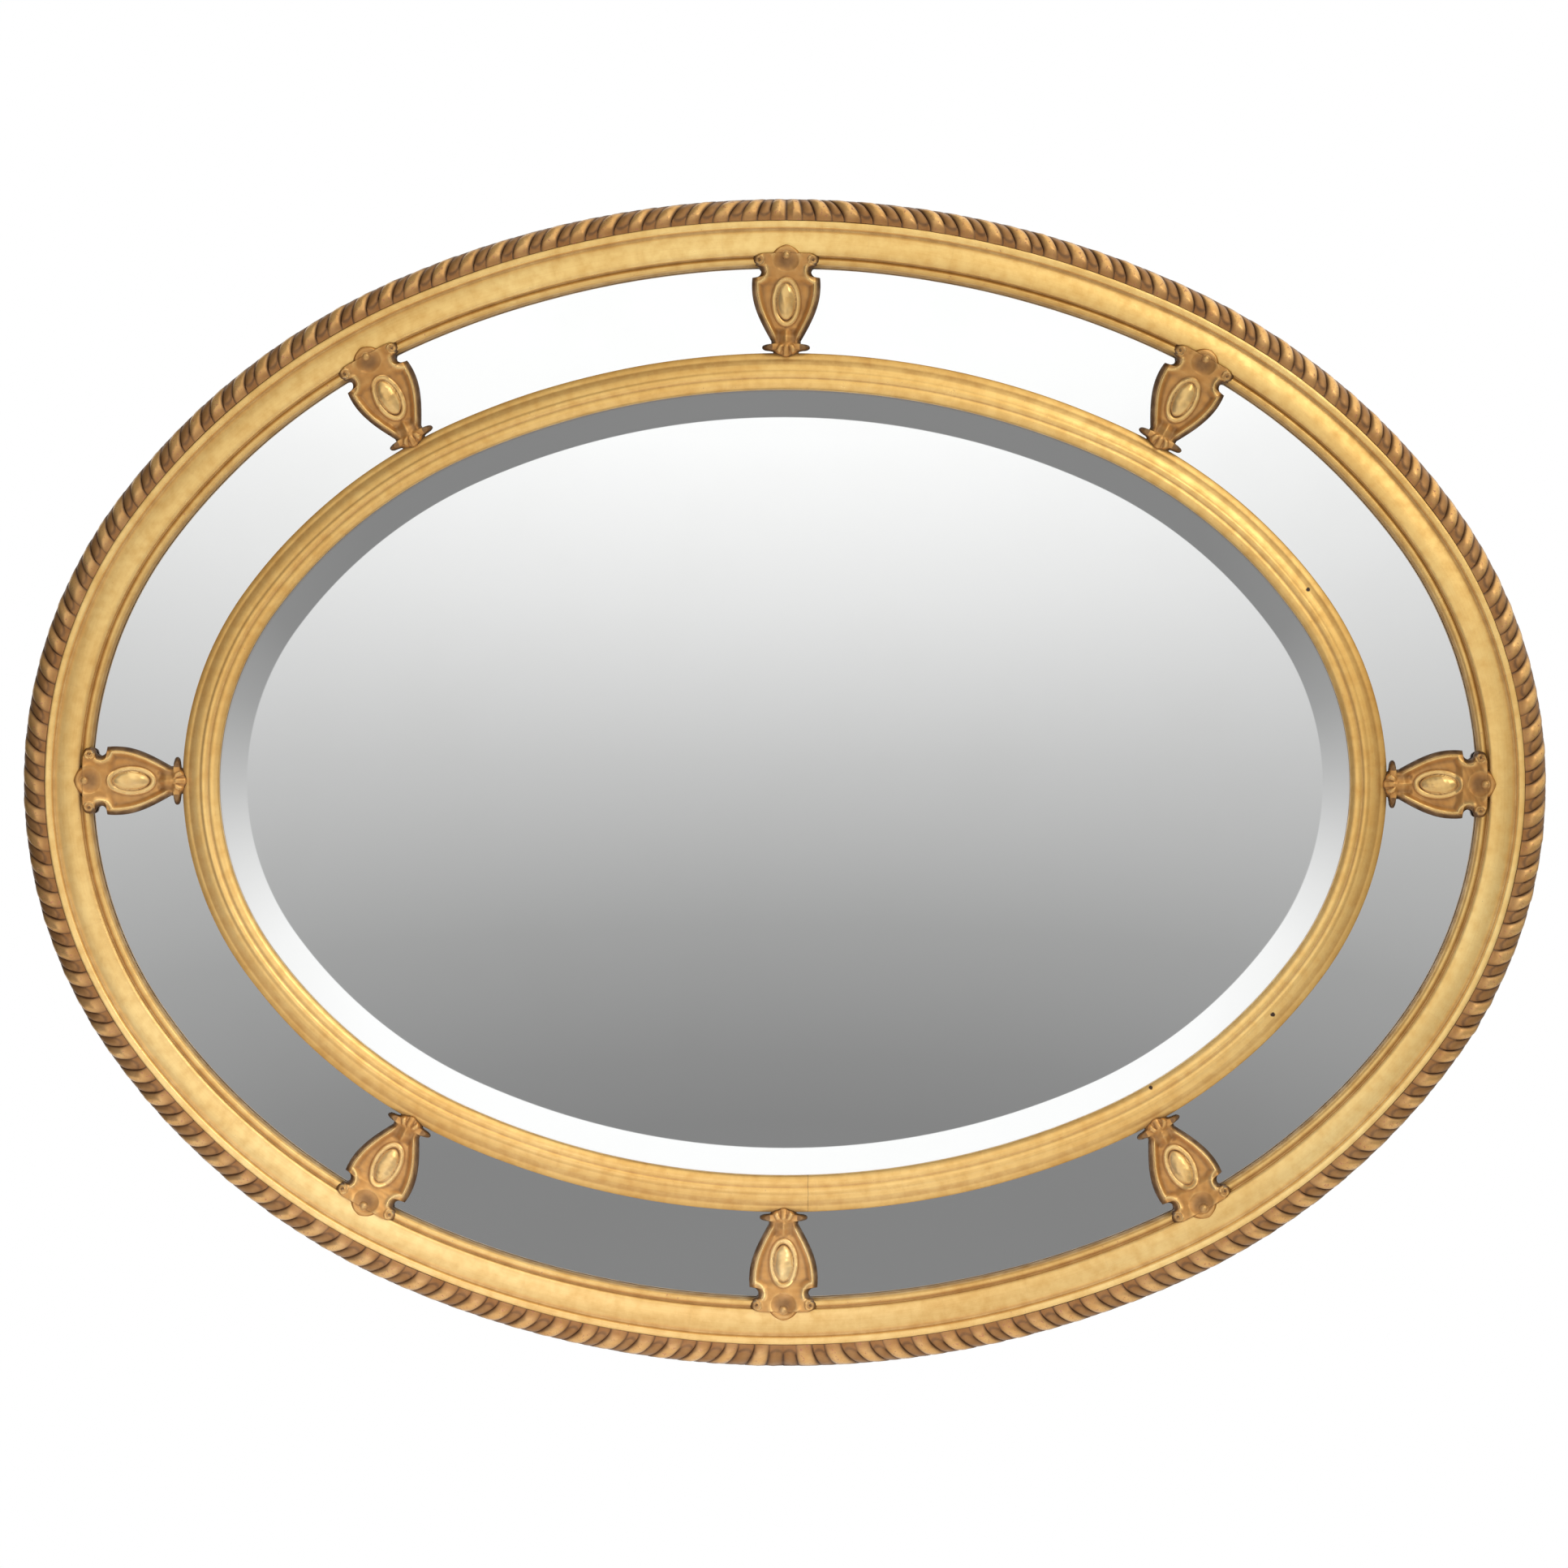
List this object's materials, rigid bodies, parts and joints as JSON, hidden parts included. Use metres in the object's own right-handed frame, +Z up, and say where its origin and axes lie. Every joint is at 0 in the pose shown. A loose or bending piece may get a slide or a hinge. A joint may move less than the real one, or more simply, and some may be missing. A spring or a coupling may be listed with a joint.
{
  "type": "oval wall mirror",
  "caption": "Oval wall mirror: gilded frame with gadrooned edge, bevelled centre plate in a reeded oval moulding, mirrored margin plates and carved cartouches; hangs from back rings.",
  "frame": {"origin": "centre of the oval, on the wall plane that the rear faces of the bumpers lie in", "axes": "+X along the length of the oval to the viewer's right, +Y into the wall, +Z up; the mirror faces -Y"},
  "size_m": [1.3002, 0.0464, 0.9971],
  "materials": {
    "gilt_moulding": "burnished gilding",
    "gilt_gadroon": "worn gilding over red bole",
    "gilt_carving": "toned gilding over red bole",
    "mirror_plate": "silvered glass",
    "back_wood": "bare softwood boards",
    "steel_screw": "dull steel",
    "brass_fitting": "lacquered brass",
    "bumper_rubber": "matt"
  },
  "bodies": {
    "mirror": {"outer_frame": "gilt_moulding", "gadroon_right": "gilt_gadroon", "gadroon_left": "gilt_gadroon", "inner_moulding": "gilt_moulding", "centre_plate": "mirror_plate", "margin_plate_1": "mirror_plate", "margin_plate_2": "mirror_plate", "margin_plate_3": "mirror_plate", "margin_plate_4": "mirror_plate", "margin_plate_5": "mirror_plate", "margin_plate_6": "mirror_plate", "margin_plate_7": "mirror_plate", "margin_plate_8": "mirror_plate", "cartouche_1": "gilt_carving", "cartouche_2": "gilt_carving", "cartouche_3": "gilt_carving", "cartouche_4": "gilt_carving", "cartouche_5": "gilt_carving", "cartouche_6": "gilt_carving", "cartouche_7": "gilt_carving", "cartouche_8": "gilt_carving", "backboard_1": "back_wood", "backboard_2": "back_wood", "backboard_3": "back_wood", "backboard_4": "back_wood", "backboard_screws": "steel_screw", "inner_moulding_screws": "steel_screw", "hanger_strap_right": "brass_fitting", "hanger_strap_left": "brass_fitting", "hanger_screws": "brass_fitting", "wall_bumper_right": "bumper_rubber", "wall_bumper_left": "bumper_rubber"},
    "ring_right": {"hanger_ring_right": "brass_fitting"},
    "ring_left": {"hanger_ring_left": "brass_fitting"}
  },
  "joints": [
    {"name": "ring_right_swing", "type": "hinge", "parent": "mirror", "child": "ring_right", "pos_m": [0.59795, -0.00445, 0.1626], "axis": [0.9063, 0, 0.4226], "range_deg": [0, 180]},
    {"name": "ring_left_swing", "type": "hinge", "parent": "mirror", "child": "ring_left", "pos_m": [-0.59795, -0.00445, 0.1626], "axis": [0.9063, 0, -0.4226], "range_deg": [0, 180]}
  ]
}
